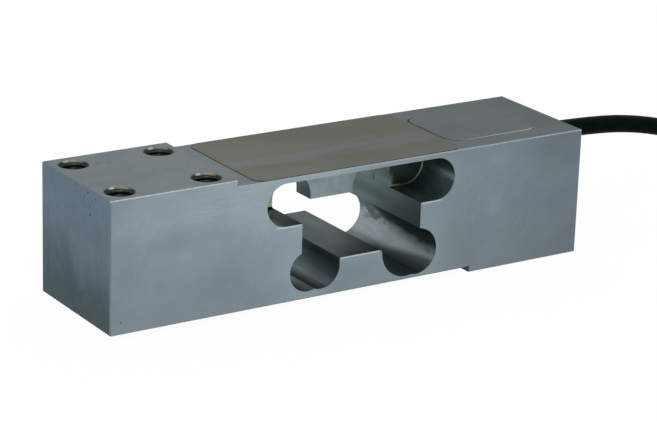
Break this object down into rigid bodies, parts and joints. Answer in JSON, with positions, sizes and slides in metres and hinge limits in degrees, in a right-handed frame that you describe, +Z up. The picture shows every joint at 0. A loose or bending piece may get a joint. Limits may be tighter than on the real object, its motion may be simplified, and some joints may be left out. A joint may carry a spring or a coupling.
{
  "type": "parallel beam load cell",
  "caption": "Aluminium single point load cell: a milled beam with a window, side pockets and raised pads, gauges under a foil, and a cable from its end.",
  "frame": {"origin": "middle of the underside of the cell, in the plane of the fixing pad, without its cable", "axes": "+X along the beam from the loading end to the cable end, +Y across it, +Z up through the loading pad"},
  "size_m": [0.3434, 0.0482, 0.038],
  "materials": {
    "beam": "milled, fine swirl marks",
    "cover_foil": "brushed, warm grey-brown",
    "cover_plate": "milled",
    "adhesive": "matt",
    "gauge_film": "clear amber",
    "terminal": "copper on amber film",
    "ribbon": "tinned",
    "sealant": "soft, satin",
    "board_pad": "matt",
    "board": "satin solder mask",
    "resistor": "lacquered",
    "chip": "glazed",
    "potting": "satin",
    "cable_jacket": "satin black",
    "bush": "matt black",
    "clamp": "crimped",
    "core": "coloured insulation",
    "tie": "black nylon",
    "sleeve": "shrunk on",
    "red": "smooth",
    "black": "smooth",
    "white": "smooth",
    "green": "smooth",
    "yellow": "smooth"
  },
  "bodies": {
    "root": {"beam": "beam", "gauge_cover_foil": "cover_foil", "pocket_cover": "cover_plate", "cover_adhesive": "adhesive", "strain_gauge_1": "gauge_film", "strain_gauge_2": "gauge_film", "strain_gauge_3": "gauge_film", "strain_gauge_4": "gauge_film", "solder_terminal_1": "terminal", "solder_terminal_2": "terminal", "gauge_wires": "ribbon", "gauge_sealant": "sealant", "board_pad": "board_pad", "circuit_board": "board", "span_resistor_1": "resistor", "span_resistor_2": "resistor", "zero_resistor": "chip", "pocket_potting": "potting", "cable_bush": "bush", "jacket_clamp": "clamp", "cable_entry": "cable_jacket", "board_leads": "core", "cable": "cable_jacket", "cable_hank": "cable_jacket", "cable_tail": "cable_jacket", "hank_tie_1": "tie", "hank_tie_2": "tie", "end_sleeve": "sleeve", "lead_red": "red", "lead_black": "black", "lead_shield": "yellow", "lead_white": "white", "lead_green": "green"}
  },
  "joints": []
}
